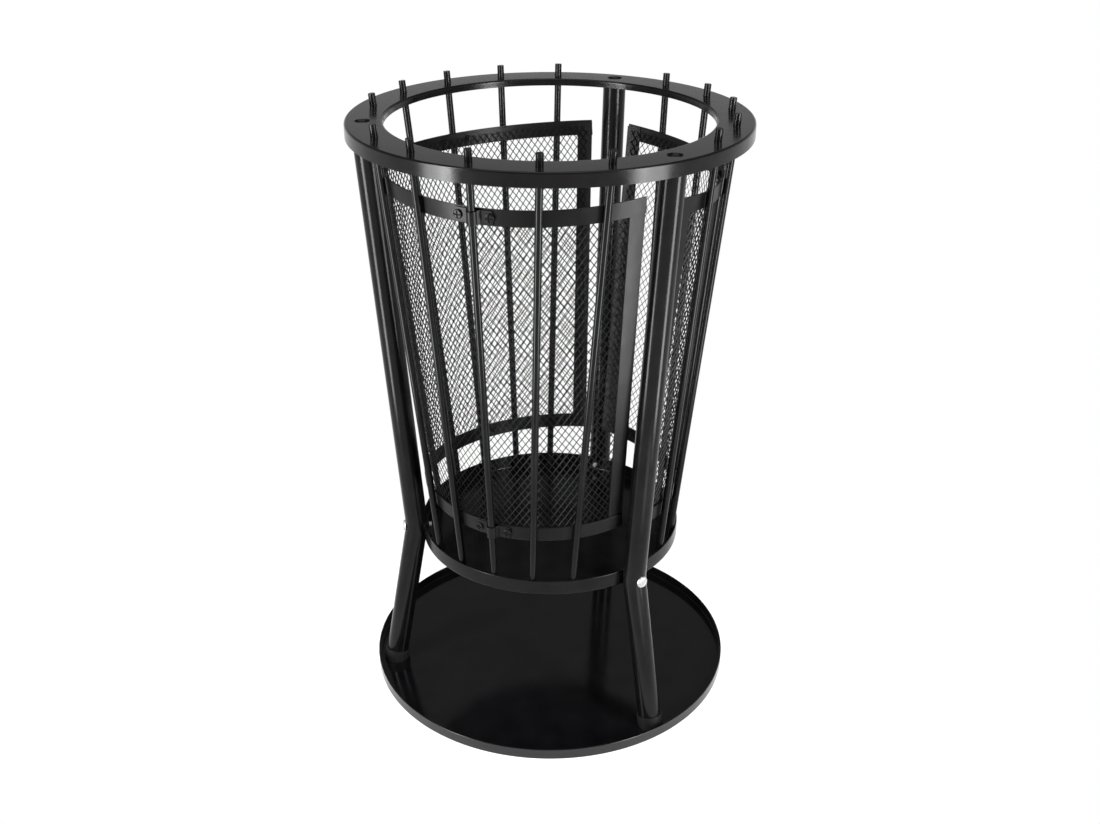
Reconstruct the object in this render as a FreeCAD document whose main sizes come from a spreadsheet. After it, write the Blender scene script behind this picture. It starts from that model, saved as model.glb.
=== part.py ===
import FreeCAD, Part
import math
import os
import Sketcher

# A fire basket: a ring and a pan on bent tube legs, joined by a cage of bars with mesh panels
# inside it, standing on an ash tray. Millimetres, +Z up, origin under the tray's centre.

driving_sizes = {
    # shared
    "leg_count": 3,
    "first_leg_deg": 90,
    "seat_gap": 0.3,
    "close_fit": 0.1,
    "cut_overrun": 5,
    # top ring, a pressed channel
    "ring_outer_dia": 443,
    "ring_opening_dia": 360,
    "ring_height": 700,
    "ring_skirt": 15.5,
    "ring_lip": 8,
    "ring_sheet": 2,
    "ring_inner_bend": 0.5,
    "ring_pitch_dia": 403,
    "dimple_dia": 18,
    # bars of the cage
    "bars_per_group": 5,
    "bar_dia": 8,
    "bar_stand": 13.5,
    "bar_low_step_deg": 17.5,
    # fire pan
    "pan_outer_dia": 315,
    "pan_rim_height": 203,
    "pan_depth": 19,
    "pan_sheet": 1.5,
    "pan_inner_bend": 1.5,
    "pan_turn_deg": 2.2,
    # legs
    "leg_dia": 27,
    "leg_wall": 1.5,
    "leg_bend_radius": 80,
    "kink_height": 195,
    "kink_turn_deg": 1.1,
    "kink_notch": 5,
    "foot_pitch_dia": 399.5,
    # ash tray
    "tray_outer_dia": 445,
    "tray_rim": 13.7,
    "tray_sheet": 1.5,
    "tray_inner_bend": 0.5,
    # foot caps and the plugs in the leg ends
    "cap_dia": 30.5,
    "cap_height": 15,
    "cap_base": 2.5,
    "plug_length": 18,
    # countersunk screws in the ring
    "ring_screw_dia": 6,
    "ring_screw_head_dia": 12.5,
    "ring_screw_length": 22,
    "ring_screw_socket": 4,
    "ring_screw_socket_depth": 2,
    # countersunk screws under the tray
    "foot_screw_dia": 5,
    "foot_screw_head_dia": 9,
    "foot_screw_length": 18,
    "foot_screw_socket": 3,
    "foot_screw_socket_depth": 1.5,
    # bolts through legs and pan
    "bolt_dia": 6,
    "bolt_head_dia": 14,
    "bolt_head_height": 3.2,
    "bolt_head_round": 2.8,
    "bolt_tail": 3,
    "bolt_sink": 0.6,
    "bolt_nut_across": 10,
    "bolt_nut_height": 5,
    # mesh panels
    "panel_top": 645,
    "panel_bottom": 246,
    "panel_lift": 7.5,
    "panel_half_top_deg": 52.85,
    "panel_half_low_deg": 55.5,
    "panel_gap": 0.6,
    "strip_width": 18,
    "strip_sheet": 1.5,
    "side_strip_inset": 2,
    "mesh_sheet": 1.2,
    "mesh_end_lap": 4,
    "mesh_side_lap": 12,
    "mesh_columns": 12,
    "mesh_rows": 12,
    "mesh_open_share": 0.82,
    # saddle clips and their screws
    "clip_width": 15,
    "clip_sheet": 1.5,
    "clip_flare": 2.5,
    "clip_half_span": 20.5,
    "clip_screw_offset": 17,
    "clip_screw_dia": 4,
    "clip_screw_length": 9,
    "clip_screw_head_dia": 10,
    "clip_screw_head_height": 1.6,
    "clip_screw_head_round": 1,
    "clip_screw_slot_length": 8,
    "clip_screw_slot_width": 1.8,
    "clip_screw_slot_depth": 1,
    "clip_nut_across": 7,
    "clip_nut_height": 3,
}

os.makedirs("parts", exist_ok=True)
doc = FreeCAD.newDocument("fire_basket")
sheet = doc.addObject("Spreadsheet::Sheet", "sizes")
for row, (alias, number) in enumerate(driving_sizes.items(), start=1):
    sheet.set(f"A{row}", alias)
    sheet.set(f"B{row}", str(number))
    sheet.setAlias(f"B{row}", alias)
doc.recompute()

up = FreeCAD.Vector(0, 0, 1)
match_share = 0.001  # edges are found by size to this share of the bar's diameter
hexagon_corners = 6
nodes = []


def value(expression):
    result = sheet.evalExpression(expression)
    return float(getattr(result, "Value", result))


def polar(radius, azimuth, height):
    angle = math.radians(azimuth)
    return FreeCAD.Vector(radius * math.cos(angle), radius * math.sin(angle), height)


def turned(azimuth):
    return FreeCAD.Placement(FreeCAD.Vector(), FreeCAD.Rotation(up, azimuth))


def pointing(origin, direction):
    return FreeCAD.Placement(origin, FreeCAD.Rotation(up, direction))


def facing(origin, x_axis, z_axis):
    rotation = FreeCAD.Rotation(x_axis, z_axis.cross(x_axis), z_axis, "ZXY")
    return FreeCAD.Placement(origin, rotation)


# Helpers that make document objects

def name_node(item, label):
    item.Label = label
    nodes.append(item)


def place_copies(master, labels, placements):
    for label, placement in zip(labels, placements):
        name_node(link_to(master, label, placement), label)


def link_to(master, name, placement):
    link = doc.addObject("App::Link", name)
    link.LinkedObject = master
    link.LinkTransform = False
    link.Placement = placement
    return link


def group_copies(master, label, placements):
    group = doc.addObject("Part::Compound", label)
    group.Links = [link_to(master, f"{label}_copy", placement) for placement in placements]
    name_node(group, label)


def combine(kind, name, base, tool):
    item = doc.addObject(kind, name)
    item.Base = base
    item.Tool = tool
    return item


def bundle(name, items):
    compound = doc.addObject("Part::Compound", name)
    compound.Links = items
    return compound


def cylinder(name, radius, length, placement):
    item = doc.addObject("Part::Cylinder", name)
    item.setExpression("Radius", radius)
    item.Height = length
    item.Placement = placement
    return item


def slice_box(name, low, high):
    # A box over the whole plan, between two heights.
    box = doc.addObject("Part::Box", name)
    side = "(sizes.tray_outer_dia + sizes.ring_outer_dia)"
    box.setExpression("Length", side)
    box.setExpression("Width", side)
    box.setExpression("Height", f"{high} - {low}")
    box.setExpression("Placement.Base.x", f"-{side} / 2")
    box.setExpression("Placement.Base.y", f"-{side} / 2")
    box.setExpression("Placement.Base.z", low)
    return box


def origin_feature(body, role):
    return next(item for item in body.Origin.OriginFeatures if item.Role == role)


def new_sketch(body, name, role):
    sketch = body.newObject("Sketcher::SketchObject", name)
    sketch.AttachmentSupport = (origin_feature(body, role), [""])
    sketch.MapMode = "FlatFace"
    return sketch


def pin_point(sketch, edge, end, across, along):
    for kind, expression in (("DistanceX", across), ("DistanceY", along)):
        constraint = Sketcher.Constraint(kind, -1, 1, edge, end, value(expression))
        index = sketch.addConstraint(constraint)
        sketch.setExpression(f"Constraints[{index}]", expression)


def draw_outline(sketch, corners):
    points = [FreeCAD.Vector(value(across), value(along), 0) for across, along in corners]
    for start, end in zip(points, points[1:] + points[:1]):
        sketch.addGeometry(Part.LineSegment(start, end), False)
    last = len(corners) - 1
    for edge, (across, along) in enumerate(corners):
        before = edge - 1 if edge else last
        sketch.addConstraint(Sketcher.Constraint("Coincident", before, 2, edge, 1))
        pin_point(sketch, edge, 1, across, along)


def revolve(body, name, corners, kind="PartDesign::Revolution", axis_at=None, angle="360"):
    # The outline is radius and height. It turns about Z, or about an upright line at axis_at.
    sketch = new_sketch(body, f"{name}_outline", "XZ_Plane")
    draw_outline(sketch, corners)
    axis = "V_Axis"
    if axis_at:
        foot = FreeCAD.Vector(value(axis_at), 0, 0)
        head = FreeCAD.Vector(value(axis_at), value(corners[0][1]), 0)
        line = sketch.addGeometry(Part.LineSegment(foot, head), True)
        pin_point(sketch, line, 1, axis_at, "0")
        pin_point(sketch, line, 2, axis_at, corners[0][1])
        axis = "Axis0"
    feature = body.newObject(kind, name)
    feature.Profile = sketch
    feature.ReferenceAxis = (sketch, [axis])
    feature.Midplane = True
    feature.setExpression("Angle", angle)
    return feature


def repeat_around(body, name, features):
    pattern = body.newObject("PartDesign::PolarPattern", name)
    pattern.Originals = features
    pattern.Axis = (origin_feature(body, "Z_Axis"), [""])
    pattern.Angle = 360
    pattern.setExpression("Occurrences", "sizes.leg_count")
    body.Tip = pattern


def round_rims(body, name, rims, radius):
    doc.recompute()
    base = body.Tip
    near = match_share * value("sizes.bar_dia")

    def matches(edge, rim):
        circle = edge.Curve
        if not isinstance(circle, Part.Circle):
            return False
        rim_radius, rim_height = map(value, rim)
        return abs(circle.Radius - rim_radius) < near and abs(circle.Center.z - rim_height) < near

    edges = enumerate(base.Shape.Edges, start=1)
    found = [f"Edge{number}" for number, edge in edges if any(matches(edge, rim) for rim in rims)]
    fillet = body.newObject("PartDesign::Fillet", name)
    fillet.Base = (base, found)
    fillet.setExpression("Radius", radius)


def sink(body, name, corners, height, depth):
    # A recess cut downward from a height.
    sketch = new_sketch(body, f"{name}_outline", "XY_Plane")
    sketch.setExpression("AttachmentOffset.Base.z", height)
    draw_outline(sketch, corners)
    pocket = body.newObject("PartDesign::Pocket", name)
    pocket.Profile = sketch
    pocket.setExpression("Length", depth)


def hexagon(across):
    turns = [360 / hexagon_corners * corner for corner in range(hexagon_corners)]
    reach = f"{across} / 2 / cos({180 / hexagon_corners})"
    return [(f"{reach} * cos({turn})", f"{reach} * sin({turn})") for turn in turns]


def hex_nut(name, across, height, bore_dia):
    prism = doc.addObject("Part::Prism", f"{name}_blank")
    prism.Polygon = hexagon_corners
    prism.setExpression("Circumradius", f"{across} / 2 / cos({180 / hexagon_corners})")
    prism.setExpression("Height", height)
    bore = doc.addObject("Part::Cylinder", f"{name}_bore")
    bore.setExpression("Radius", f"{bore_dia} / 2 + sizes.close_fit")
    bore.setExpression("Height", height)
    return combine("Part::Cut", name, prism, bore)


def countersunk_screw(name, size):
    # Tail at the origin, head on top, both faces flat.
    shank = f"sizes.{size}_dia / 2"
    head = f"sizes.{size}_head_dia / 2"
    length = f"sizes.{size}_length"
    body = doc.addObject("PartDesign::Body", name)
    shape = [("0", "0"), (shank, "0"), (shank, f"{length} - {head} + {shank}"), (head, length), ("0", length)]
    revolve(body, f"{name}_form", shape)
    sink(body, f"{name}_socket", hexagon(f"sizes.{size}_socket"), length, f"sizes.{size}_socket_depth")
    return body


# Places shared by several pieces

leg_count = int(value("sizes.leg_count"))
leg_azimuths = [value("sizes.first_leg_deg") + 360 / leg_count * number for number in range(leg_count)]
panel_azimuths = [azimuth + 180 / leg_count for azimuth in leg_azimuths]
leg_numbers = range(1, leg_count + 1)
pan_turn = value("sizes.pan_turn_deg")
kink_azimuth = -value("sizes.kink_turn_deg")

ring_under = "(sizes.ring_height - sizes.ring_sheet)"
dimple_depth = "((sizes.dimple_dia - sizes.ring_screw_dia) / 2 - sizes.seat_gap)"
dimple_floor = f"(sizes.ring_height - {dimple_depth})"
pan_bottom = "(sizes.pan_rim_height - sizes.pan_depth)"
pan_floor = f"({pan_bottom} + sizes.pan_sheet)"
pan_inside = "(sizes.pan_outer_dia / 2 - sizes.pan_sheet)"
leg_level = "(sizes.tray_sheet + sizes.cap_base)"
leg_bore = "(sizes.leg_dia / 2 - sizes.leg_wall)"
kink_radius = "(sizes.pan_outer_dia / 2 + sizes.seat_gap + sizes.leg_dia / 2 - sizes.kink_notch)"
overrun = value("sizes.cut_overrun")

# The bars touch the pan's wall at its rim and the pitch circle at the ring's top face.
bar_low_radius = f"({pan_inside} - sizes.seat_gap - sizes.bar_dia / 2)"
bar_rise = "(sizes.ring_height - sizes.pan_rim_height)"
bar_slope = f"((sizes.ring_pitch_dia / 2 - {bar_low_radius}) / {bar_rise})"
bar_lean = f"atan({bar_slope})"


def bar_axis(panel_azimuth, place):
    # A bar's point at the pan's rim and its upward direction; place counts from the middle bar.
    top_step = 360 / leg_count / (value("sizes.bars_per_group") + 1)
    low_azimuth = panel_azimuth - pan_turn + place * value("sizes.bar_low_step_deg")
    low = polar(value(bar_low_radius), low_azimuth, value("sizes.pan_rim_height"))
    top_azimuth = panel_azimuth + place * top_step
    top = polar(value("sizes.ring_pitch_dia / 2"), top_azimuth, value("sizes.ring_height"))
    return low, (top - low).normalize()


def along_bar(low, direction, height):
    return low + direction * ((height - low.z) / direction.z)


# Cage bars and the holes that they leave in the ring

bars_per_group = int(value("sizes.bars_per_group"))
bar_places = [number - (bars_per_group - 1) / 2 for number in range(bars_per_group)]
bar_routes = [bar_axis(azimuth, place) for azimuth in panel_azimuths for place in bar_places]
ring_holes = []
for number, (low, direction) in enumerate(bar_routes, start=1):
    end_tilt = math.hypot(direction.x, direction.y) * value("sizes.bar_dia / 2")
    foot = along_bar(low, direction, value(f"{pan_floor} + sizes.seat_gap") + end_tilt)
    head = along_bar(low, direction, value("sizes.ring_height + sizes.bar_stand"))
    bar = cylinder(f"bar_{number:02d}", "sizes.bar_dia / 2", (head - foot).Length, pointing(foot, direction))
    name_node(bar, f"bar_{number:02d}")
    hole_foot = along_bar(low, direction, value("sizes.ring_height - sizes.ring_skirt"))
    hole_length = (head - hole_foot).Length
    hole_size = "sizes.bar_dia / 2 + sizes.seat_gap"
    hole = cylinder(f"ring_hole_{number:02d}", hole_size, hole_length, pointing(hole_foot, direction))
    ring_holes.append(hole)

# Top ring

ring_outer = "sizes.ring_outer_dia / 2"
ring_inner = "sizes.ring_opening_dia / 2"
ring_lip_end = "sizes.ring_height - sizes.ring_lip"
ring_skirt_end = "sizes.ring_height - sizes.ring_skirt"
ring_outer_bend = "sizes.ring_inner_bend + sizes.ring_sheet"
ring_body = doc.addObject("PartDesign::Body", "ring_body")
ring_body.Placement = turned(leg_azimuths[0])
revolve(ring_body, "ring_channel", [
    (ring_outer, ring_skirt_end),
    (ring_outer, "sizes.ring_height"),
    (ring_inner, "sizes.ring_height"),
    (ring_inner, ring_lip_end),
    (f"{ring_inner} + sizes.ring_sheet", ring_lip_end),
    (f"{ring_inner} + sizes.ring_sheet", ring_under),
    (f"{ring_outer} - sizes.ring_sheet", ring_under),
    (f"{ring_outer} - sizes.ring_sheet", ring_skirt_end),
])
outer_rims = [(ring_outer, "sizes.ring_height"), (ring_inner, "sizes.ring_height")]
inner_rims = [
    (f"{ring_outer} - sizes.ring_sheet", ring_under),
    (f"{ring_inner} + sizes.ring_sheet", ring_under),
]
round_rims(ring_body, "ring_outer_bends", outer_rims, ring_outer_bend)
round_rims(ring_body, "ring_inner_bends", inner_rims, "sizes.ring_inner_bend")

pitch = "sizes.ring_pitch_dia / 2"
hole_radius = "sizes.ring_screw_dia / 2 + sizes.seat_gap"
dimple_cup = revolve(ring_body, "dimple_cup", [
    (pitch, "sizes.ring_height - sizes.ring_sheet / 2"),
    (f"{pitch} + sizes.dimple_dia / 2 + sizes.ring_sheet / 2", "sizes.ring_height - sizes.ring_sheet / 2"),
    (f"{pitch} + {hole_radius} + sizes.ring_sheet", dimple_floor),
    (pitch, dimple_floor),
], axis_at=pitch)
dimple_cut = revolve(ring_body, "dimple_cut", [
    (pitch, "sizes.ring_height + sizes.cut_overrun"),
    (f"{pitch} + sizes.dimple_dia / 2 + sizes.cut_overrun", "sizes.ring_height + sizes.cut_overrun"),
    (f"{pitch} + {hole_radius}", dimple_floor),
    (f"{pitch} + {hole_radius}", f"{dimple_floor} - sizes.cut_overrun"),
    (pitch, f"{dimple_floor} - sizes.cut_overrun"),
], kind="PartDesign::Groove", axis_at=pitch)
repeat_around(ring_body, "dimples", [dimple_cup, dimple_cut])
name_node(combine("Part::Cut", "ring_drilled", ring_body, bundle("ring_holes", ring_holes)), "top_ring")

# Bolt bores, shared by the pan and the legs; in leg 1's own frame the leg stands at azimuth 0

bolt_radius = "sizes.bolt_dia / 2 + sizes.close_fit"
bolt_flat = f"({kink_radius} + sizes.leg_dia / 2 - sizes.bolt_sink)"
bolt_seat = f"({bolt_flat} + sizes.close_fit)"
nut_face = f"({pan_inside} - sizes.seat_gap)"
bolt_end = f"({nut_face} - sizes.bolt_nut_height - sizes.bolt_tail)"
bolt_start = polar(value(bolt_end), kink_azimuth, value("sizes.kink_height"))
bolt_direction = polar(1, kink_azimuth, 0)
bolt_place = pointing(bolt_start, bolt_direction)
bore_place = bolt_place * turned(90)  # keeps the bore's seam off the seam of the bent tube
bolt_bore = cylinder("bolt_bore", bolt_radius, value(f"{bolt_seat} - {bolt_end}"), bore_place)

# Fire pan

pan_outer = "sizes.pan_outer_dia / 2"
pan_body = doc.addObject("PartDesign::Body", "pan_body")
revolve(pan_body, "pan_dish", [
    ("0", pan_bottom),
    (pan_outer, pan_bottom),
    (pan_outer, "sizes.pan_rim_height"),
    (pan_inside, "sizes.pan_rim_height"),
    (pan_inside, pan_floor),
    ("0", pan_floor),
])
round_rims(pan_body, "pan_outer_bend", [(pan_outer, pan_bottom)], "sizes.pan_inner_bend + sizes.pan_sheet")
round_rims(pan_body, "pan_inner_bend", [(pan_inside, pan_floor)], "sizes.pan_inner_bend")
leg_places = [turned(azimuth) for azimuth in leg_azimuths]
pan_bores = [link_to(bolt_bore, "pan_bore", place * bolt_place) for place in leg_places]
name_node(combine("Part::Cut", "pan_drilled", pan_body, bundle("pan_bores", pan_bores)), "fire_pan")

# Legs: straight, one bend at the pan, straight; made in the plane through top, kink and foot

leg_top = polar(value("sizes.ring_pitch_dia / 2"), 0, value(ring_under))
leg_foot = polar(value("sizes.foot_pitch_dia / 2"), 0, value(leg_level))
kink_contact = polar(value(kink_radius), kink_azimuth, value("sizes.kink_height"))
half_bend = (leg_top - kink_contact).getAngle(kink_contact - leg_foot) / 2
bend_sag = value("sizes.leg_bend_radius") * (1 / math.cos(half_bend) - 1)
kink = polar(value(kink_radius) - bend_sag, kink_azimuth, value("sizes.kink_height"))
leg_axis = (leg_top - leg_foot).normalize()
kink_offset = kink - leg_foot
kink_side = (kink_offset - leg_axis * kink_offset.dot(leg_axis)).normalize()
lower_direction = (kink - leg_foot).normalize()
upper_direction = (leg_top - kink).normalize()


def in_leg_plane(point):
    offset = point - leg_foot
    return FreeCAD.Vector(offset.dot(kink_side), offset.dot(leg_axis), 0)


leg_body = doc.addObject("PartDesign::Body", "leg_body")
leg_path = new_sketch(leg_body, "leg_path", "XZ_Plane")
path_start = in_leg_plane(leg_foot - lower_direction * overrun)
path_end = in_leg_plane(leg_top + upper_direction * overrun)
leg_path.addGeometry(Part.LineSegment(path_start, in_leg_plane(kink)), False)
leg_path.addGeometry(Part.LineSegment(in_leg_plane(kink), path_end), False)
leg_path.addConstraint(Sketcher.Constraint("Coincident", 0, 2, 1, 1))
leg_path.fillet(0, 2, value("sizes.leg_bend_radius"))
leg_section = new_sketch(leg_body, "leg_section", "XY_Plane")
lower_tilt = math.degrees(math.atan2(in_leg_plane(kink).x, in_leg_plane(kink).y))
section_place = FreeCAD.Vector(path_start.x, 0, path_start.y)
y_axis = FreeCAD.Vector(0, 1, 0)
leg_section.AttachmentOffset = FreeCAD.Placement(section_place, FreeCAD.Rotation(y_axis, lower_tilt))
for radius in ("sizes.leg_dia / 2", leg_bore):
    circle = leg_section.addGeometry(Part.Circle(FreeCAD.Vector(), up, value(radius)), False)
    leg_section.addConstraint(Sketcher.Constraint("Coincident", circle, 3, -1, 1))
    index = leg_section.addConstraint(Sketcher.Constraint("Radius", circle, value(radius)))
    leg_section.setExpression(f"Constraints[{index}]", radius)
doc.recompute()
leg_pipe = leg_body.newObject("PartDesign::AdditivePipe", "leg_pipe")
leg_pipe.Profile = leg_section
leg_pipe.Spine = (leg_path, [])
leg_body.Placement = facing(leg_foot, kink_side, leg_axis)
leg_slice = slice_box("leg_slice", leg_level, ring_under)
leg_trimmed = combine("Part::Common", "leg_trimmed", leg_body, leg_slice)
# A notch lets the leg in over the pan's wall, and a flat takes the bolt's head.
notch_place = FreeCAD.Placement(up * value(f"{pan_bottom} - sizes.seat_gap"), FreeCAD.Rotation())
notch_height = value("sizes.pan_depth + 2 * sizes.seat_gap")
notch = cylinder("leg_notch", "sizes.pan_outer_dia / 2 + sizes.seat_gap", notch_height, notch_place)
leg_notched = combine("Part::Cut", "leg_notched", leg_trimmed, notch)
flat_place = pointing(polar(value(bolt_flat), kink_azimuth, value("sizes.kink_height")), bolt_direction)
flat_radius = "sizes.bolt_head_dia / 2 + sizes.seat_gap"
head_flat = cylinder("leg_flat", flat_radius, value("sizes.leg_dia"), flat_place)
leg_flattened = combine("Part::Cut", "leg_flattened", leg_notched, head_flat)
leg = combine("Part::Cut", "leg_master", leg_flattened, bolt_bore)
place_copies(leg, [f"leg_{number}" for number in leg_numbers], leg_places)

# Bolts and nuts at the kinks

bolt_body = doc.addObject("PartDesign::Body", "bolt_body")
bolt_length = f"({bolt_seat} - {bolt_end})"
bolt_top = f"({bolt_length} + sizes.bolt_head_height)"
revolve(bolt_body, "bolt_form", [
    ("0", "0"),
    ("sizes.bolt_dia / 2", "0"),
    ("sizes.bolt_dia / 2", bolt_length),
    ("sizes.bolt_head_dia / 2", bolt_length),
    ("sizes.bolt_head_dia / 2", bolt_top),
    ("0", bolt_top),
])
round_rims(bolt_body, "bolt_dome", [("sizes.bolt_head_dia / 2", bolt_top)], "sizes.bolt_head_round")
group_copies(bolt_body, "pan_bolts", [place * bolt_place for place in leg_places])
bolt_nut = hex_nut("bolt_nut", "sizes.bolt_nut_across", "sizes.bolt_nut_height", "sizes.bolt_dia")
nut_start = bolt_start + bolt_direction * value("sizes.bolt_tail")
group_copies(bolt_nut, "pan_nuts", [place * pointing(nut_start, bolt_direction) for place in leg_places])

# Leg-top plugs and the ring's screws

plug_radius = f"{leg_bore} - sizes.close_fit"
plug_length = value("sizes.plug_length")
plug_drop = (leg_top.z - value(f"{dimple_floor} - sizes.seat_gap")) / upper_direction.z
top_plug_foot = leg_top - upper_direction * (plug_drop + plug_length)
top_plug_place = pointing(top_plug_foot, upper_direction)
top_plug_blank = cylinder("top_plug_blank", plug_radius, plug_length, top_plug_place)
top_bore_radius = "sizes.ring_screw_dia / 2 + sizes.close_fit"
top_bore_place = pointing(FreeCAD.Vector(leg_top.x, 0, top_plug_foot.z - overrun), up)
top_plug_bore = cylinder("top_plug_bore", top_bore_radius, plug_length + overrun + overrun, top_bore_place)
top_plug = combine("Part::Cut", "top_plug", top_plug_blank, top_plug_bore)
group_copies(top_plug, "leg_top_plugs", leg_places)

ring_screw = countersunk_screw("ring_screw", "ring_screw")
screw_rise = "(sizes.dimple_dia - sizes.ring_screw_head_dia) / 2 - sizes.seat_gap"
ring_screw_foot = value(f"sizes.ring_height - ({screw_rise}) - sizes.ring_screw_length")
ring_screw_place = pointing(FreeCAD.Vector(leg_top.x, 0, ring_screw_foot), up)
group_copies(ring_screw, "ring_screws", [place * ring_screw_place for place in leg_places])

# Foot screws, and the countersunk hole that each leaves in tray, cap and plug

foot_screw = countersunk_screw("foot_screw", "foot_screw")
foot_screw_end = polar(leg_foot.x, 0, value("sizes.foot_screw_length + sizes.seat_gap"))
foot_screw_place = facing(foot_screw_end, FreeCAD.Vector(1, 0, 0), -up)
group_copies(foot_screw, "foot_screws", [place * foot_screw_place for place in leg_places])

foot_hole_body = doc.addObject("PartDesign::Body", "foot_hole_body")
foot_shank = "(sizes.foot_screw_dia / 2 + sizes.close_fit)"
foot_head = "(sizes.foot_screw_head_dia / 2 + sizes.close_fit)"
foot_hole_top = "sizes.foot_screw_length + sizes.cut_overrun"
revolve(foot_hole_body, "foot_hole", [
    ("0", "0"),
    (foot_head, "0"),
    (foot_shank, f"{foot_head} - {foot_shank}"),
    (foot_shank, foot_hole_top),
    ("0", foot_hole_top),
])
foot_hole_body.Placement = FreeCAD.Placement(polar(leg_foot.x, 0, 0), FreeCAD.Rotation())

# Foot caps: sleeves along the leg, cut level at the tray's floor

above_tray = slice_box("above_tray", "sizes.tray_sheet", "sizes.ring_height")
cap_length = value("sizes.cap_height + sizes.cap_dia")
cap_low = leg_foot - lower_direction * value("sizes.cap_dia + sizes.cap_base")
cap_place = pointing(cap_low, lower_direction)
cap_blank = cylinder("cap_blank", "sizes.cap_dia / 2", cap_length, cap_place)
cap_seated = combine("Part::Common", "cap_seated", cap_blank, above_tray)
cap_bore_blank = cylinder("cap_bore", "sizes.leg_dia / 2 + sizes.close_fit", cap_length + overrun, cap_place)
cap_bore = combine("Part::Common", "cap_bore_level", cap_bore_blank, leg_slice)
cap_hollow = combine("Part::Cut", "cap_hollow", cap_seated, cap_bore)
cap = combine("Part::Cut", "cap_master", cap_hollow, foot_hole_body)
place_copies(cap, [f"foot_cap_{number}" for number in leg_numbers], leg_places)

foot_plug_place = pointing(leg_foot - lower_direction * plug_length, lower_direction)
foot_plug_blank = cylinder("foot_plug_blank", plug_radius, plug_length + plug_length, foot_plug_place)
foot_plug_level = combine("Part::Common", "foot_plug_level", foot_plug_blank, leg_slice)
foot_plug = combine("Part::Cut", "foot_plug", foot_plug_level, foot_hole_body)
group_copies(foot_plug, "leg_foot_plugs", leg_places)

# Ash tray

tray_outer = "sizes.tray_outer_dia / 2"
tray_inside = "(sizes.tray_outer_dia / 2 - sizes.tray_sheet)"
tray_body = doc.addObject("PartDesign::Body", "tray_body")
revolve(tray_body, "tray_dish", [
    ("0", "0"),
    (tray_outer, "0"),
    (tray_outer, "sizes.tray_rim"),
    (tray_inside, "sizes.tray_rim"),
    (tray_inside, "sizes.tray_sheet"),
    ("0", "sizes.tray_sheet"),
])
round_rims(tray_body, "tray_outer_bend", [(tray_outer, "0")], "sizes.tray_inner_bend + sizes.tray_sheet")
round_rims(tray_body, "tray_inner_bend", [(tray_inside, "sizes.tray_sheet")], "sizes.tray_inner_bend")
tray_holes = [link_to(foot_hole_body, "tray_hole", place * foot_hole_body.Placement) for place in leg_places]
name_node(combine("Part::Cut", "tray_drilled", tray_body, bundle("tray_holes", tray_holes)), "ash_tray")

# Mesh panels, made once about azimuth 0: every sheet lies on the cone just inside the bars


def on_cone(height, down, inward):
    # A point of the radial section, from the outer face at a height, down the slope and inward.
    face = f"({bar_low_radius} + {bar_slope} * ({height} - sizes.pan_rim_height)"
    face += f" - sizes.bar_dia / 2 / cos({bar_lean}) - sizes.panel_gap)"
    across = f"{face} - sin({bar_lean}) * ({down}) - cos({bar_lean}) * ({inward})"
    return across, f"{height} - cos({bar_lean}) * ({down}) + sin({bar_lean}) * ({inward})"


def cone_band(name, inward, thickness, angle):
    # A sheet on the cone that runs past both ends of the panel.
    body = doc.addObject("PartDesign::Body", name)
    past = "2 * sizes.cut_overrun"
    revolve(body, f"{name}_form", [
        on_cone(panel_top, f"-{past}", inward),
        on_cone(panel_bottom, past, inward),
        on_cone(panel_bottom, past, f"{inward} + {thickness}"),
        on_cone(panel_top, f"-{past}", f"{inward} + {thickness}"),
    ], angle=angle)
    return body


def cut_square(name, sheet, low, high):
    # The part of a sheet between two planes square to the panel's middle line, from its lower end up.
    along = FreeCAD.Vector(math.sin(lean), 0, math.cos(lean))
    outward = FreeCAD.Vector(math.cos(lean), 0, -math.sin(lean))
    width = value("sizes.ring_outer_dia")
    across, height = [value(number) for number in on_cone(panel_bottom, "0", "0")]
    corner = FreeCAD.Vector(across, -width / 2, height) + along * value(low) + outward * (overrun - width)
    slab = doc.addObject("Part::Box", f"{name}_slab")
    slab.Length = slab.Width = width
    slab.setExpression("Height", f"({high}) - ({low})")
    slab.Placement = facing(corner, outward, along)
    return combine("Part::Common", name, sheet, slab)


panel_top = "sizes.panel_top"
panel_bottom = "sizes.panel_bottom"
panel_length = f"(({panel_top} - {panel_bottom}) / cos({bar_lean}))"
strip = "sizes.strip_width"
strip_sheet = "sizes.strip_sheet"
lean = math.radians(value(bar_lean))
top_sheet = cone_band("top_sheet", "0", strip_sheet, "2 * sizes.panel_half_top_deg")
low_sheet = cone_band("low_sheet", "0", strip_sheet, "2 * sizes.panel_half_low_deg")
top_band = cut_square("top_band", top_sheet, f"{panel_length} - {strip}", panel_length)
low_band = cut_square("low_band", low_sheet, "0", strip)

inset = "sizes.side_strip_inset"
side_cone = cone_band("side_cone", strip_sheet, strip_sheet, "360")
top_radius = value(on_cone(panel_top, "0", "0")[0])
low_radius = value(on_cone(panel_bottom, "0", "0")[0])
half_strip = value(f"{strip} / 2")
top_half = value("sizes.panel_half_top_deg") - math.degrees(half_strip / top_radius)
low_half = value("sizes.panel_half_low_deg") - math.degrees(half_strip / low_radius)


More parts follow.
